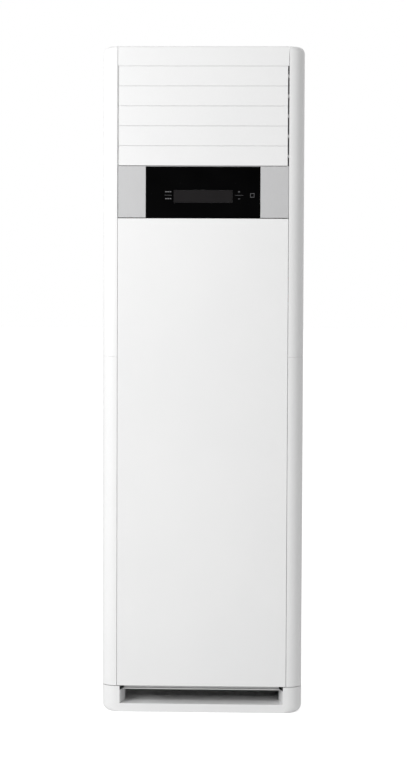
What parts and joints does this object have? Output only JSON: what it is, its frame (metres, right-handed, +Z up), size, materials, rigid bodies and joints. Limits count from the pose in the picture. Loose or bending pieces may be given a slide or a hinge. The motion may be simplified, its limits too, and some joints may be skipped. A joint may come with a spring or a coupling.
{
  "type": "floor standing air conditioner",
  "caption": "Tall free-standing air conditioner indoor unit: louvered outlet at the top, dark control strip, flat front panel, side air intakes and slotted plinth.",
  "frame": {"origin": "middle of the footprint, on the floor", "axes": "+Z up, the front faces -Y, +X to the viewer's right"},
  "size_m": [0.55, 0.418, 1.824],
  "materials": {
    "white_casing": "satin moulded, very fine grain",
    "inner_plastic": "matt moulded",
    "silver_trim": "satin silver lacquer",
    "black_glass": "polished black panel",
    "smoked_lens": "smoked, polished",
    "dark_plastic": "matt",
    "galvanised": "zinc coated sheet",
    "filter_netting": "woven net in a frame",
    "circuit_board": "lacquered",
    "fin_metal": "thin fins",
    "copper": "drawn tube",
    "foam": "expanded beads",
    "motor_metal": "satin",
    "wheel_plastic": "matt moulded"
  },
  "bodies": {
    "casing": {"base_plinth": "white_casing", "front_cross_rail": "white_casing", "lower_front_panel": "white_casing", "top_cover": "white_casing", "rear_panel_lower": "white_casing", "rear_panel_upper": "white_casing", "upper_side_panel_right": "white_casing", "upper_side_panel_left": "white_casing", "lower_side_panel_right": "white_casing", "lower_side_panel_left": "white_casing", "outlet_frame": "white_casing", "louver_motor": "motor_metal", "vane_motor": "motor_metal", "air_deflector": "foam", "display_trim_right": "silver_trim", "display_trim_left": "silver_trim", "control_glass": "black_glass", "display_window": "smoked_lens", "control_panel_frame": "dark_plastic", "display_board": "circuit_board", "blower_scroll": "galvanised", "inlet_ring": "dark_plastic", "fan_motor": "motor_metal", "blower_mounting_plate": "galvanised", "partition_shelf": "galvanised", "evaporator_coil": "fin_metal", "coil_end_plate_right": "galvanised", "coil_end_plate_left": "copper", "drain_pan": "inner_plastic", "drain_pipe": "inner_plastic", "gas_pipe": "copper", "liquid_pipe": "copper", "electrical_box": "galvanised", "electrical_box_cover": "galvanised", "power_board": "circuit_board", "inner_upright_right": "galvanised", "inner_upright_left": "galvanised"},
    "right_grille": {"side_intake_grille_right": "white_casing", "air_filter_right": "filter_netting"},
    "left_grille": {"side_intake_grille_left": "white_casing", "air_filter_left": "filter_netting"},
    "blower": {"blower_wheel": "wheel_plastic", "blower_wheel_disk": "wheel_plastic", "motor_shaft": "galvanised", "shaft_nut": "galvanised"},
    "louver_crank": {"louver_crank": "inner_plastic"},
    "louver_link": {"louver_link": "inner_plastic"},
    "vane_link": {"vane_link": "inner_plastic"},
    "louver_1": {"louver_1": "white_casing"},
    "louver_2": {"louver_2": "white_casing"},
    "louver_3": {"louver_3": "white_casing"},
    "louver_4": {"louver_4": "white_casing"},
    "louver_5": {"louver_5": "white_casing"},
    "vane_1": {"vane_1": "inner_plastic"},
    "vane_2": {"vane_2": "inner_plastic"},
    "vane_3": {"vane_3": "inner_plastic"},
    "vane_4": {"vane_4": "inner_plastic"},
    "vane_5": {"vane_5": "inner_plastic"},
    "vane_6": {"vane_6": "inner_plastic"},
    "vane_7": {"vane_7": "inner_plastic"}
  },
  "joints": [
    {"name": "louver_1_tilt", "type": "hinge", "parent": "casing", "child": "louver_1", "pos_m": [0, -0.201, 1.527], "axis": [-1, 0, 0], "range_deg": [0, 80]},
    {"name": "louver_2_tilt", "type": "hinge", "parent": "casing", "child": "louver_2", "pos_m": [0, -0.201, 1.581], "axis": [-1, 0, 0], "range_deg": [0, 80]},
    {"name": "louver_3_tilt", "type": "hinge", "parent": "casing", "child": "louver_3", "pos_m": [0, -0.201, 1.635], "axis": [-1, 0, 0], "range_deg": [0, 80]},
    {"name": "louver_4_tilt", "type": "hinge", "parent": "casing", "child": "louver_4", "pos_m": [0, -0.201, 1.689], "axis": [-1, 0, 0], "range_deg": [0, 80]},
    {"name": "louver_5_tilt", "type": "hinge", "parent": "casing", "child": "louver_5", "pos_m": [0, -0.201, 1.743], "axis": [-1, 0, 0], "range_deg": [0, 80]},
    {"name": "crank_turn", "type": "hinge", "parent": "casing", "child": "louver_crank", "pos_m": [0.225, -0.15, 1.635], "axis": [-1, 0, 0], "range_deg": [0, 80]},
    {"name": "link_swing", "type": "hinge", "parent": "louver_3", "child": "louver_link", "pos_m": [0.2284, -0.18568, 1.64786], "axis": [-1, 0, 0], "range_deg": [-80, 0]},
    {"name": "vane_1_turn", "type": "hinge", "parent": "casing", "child": "vane_1", "pos_m": [-0.18937, -0.15, 1.6], "axis": [0, 0, 1], "range_deg": [-35, 35]},
    {"name": "vane_2_turn", "type": "hinge", "parent": "casing", "child": "vane_2", "pos_m": [-0.12625, -0.15, 1.6], "axis": [0, 0, 1], "range_deg": [-35, 35]},
    {"name": "vane_3_turn", "type": "hinge", "parent": "casing", "child": "vane_3", "pos_m": [-0.06312, -0.15, 1.6], "axis": [0, 0, 1], "range_deg": [-35, 35]},
    {"name": "vane_4_turn", "type": "hinge", "parent": "casing", "child": "vane_4", "pos_m": [0, -0.15, 1.6], "axis": [0, 0, 1], "range_deg": [-35, 35]},
    {"name": "vane_5_turn", "type": "hinge", "parent": "casing", "child": "vane_5", "pos_m": [0.06312, -0.15, 1.6], "axis": [0, 0, 1], "range_deg": [-35, 35]},
    {"name": "vane_6_turn", "type": "hinge", "parent": "casing", "child": "vane_6", "pos_m": [0.12625, -0.15, 1.6], "axis": [0, 0, 1], "range_deg": [-35, 35]},
    {"name": "vane_7_turn", "type": "hinge", "parent": "casing", "child": "vane_7", "pos_m": [0.18937, -0.15, 1.6], "axis": [0, 0, 1], "range_deg": [-35, 35]},
    {"name": "vane_link_swing", "type": "hinge", "parent": "vane_4", "child": "vane_link", "pos_m": [0, -0.122, 1.504], "axis": [0, 0, 1], "range_deg": [-35, 35]},
    {"name": "blower_spin", "type": "hinge", "parent": "casing", "child": "blower", "pos_m": [0.0243, 0.025, 0.47], "axis": [0, -1, 0], "continuous": true},
    {"name": "right_grille_pull", "type": "slide", "parent": "casing", "child": "right_grille", "axis": [1, 0, 0], "range_m": [0, 0.06]},
    {"name": "left_grille_pull", "type": "slide", "parent": "casing", "child": "left_grille", "axis": [-1, 0, 0], "range_m": [0, 0.06]}
  ],
  "couplings": [
    {"joint": "louver_1_tilt", "follows": "louver_3_tilt", "ratio": 1},
    {"joint": "louver_2_tilt", "follows": "louver_3_tilt", "ratio": 1},
    {"joint": "louver_4_tilt", "follows": "louver_3_tilt", "ratio": 1},
    {"joint": "louver_5_tilt", "follows": "louver_3_tilt", "ratio": 1},
    {"joint": "crank_turn", "follows": "louver_3_tilt", "ratio": 1},
    {"joint": "link_swing", "follows": "louver_3_tilt", "ratio": -1},
    {"joint": "vane_1_turn", "follows": "vane_4_turn", "ratio": 1},
    {"joint": "vane_2_turn", "follows": "vane_4_turn", "ratio": 1},
    {"joint": "vane_3_turn", "follows": "vane_4_turn", "ratio": 1},
    {"joint": "vane_5_turn", "follows": "vane_4_turn", "ratio": 1},
    {"joint": "vane_6_turn", "follows": "vane_4_turn", "ratio": 1},
    {"joint": "vane_7_turn", "follows": "vane_4_turn", "ratio": 1},
    {"joint": "vane_link_swing", "follows": "vane_4_turn", "ratio": -1}
  ]
}
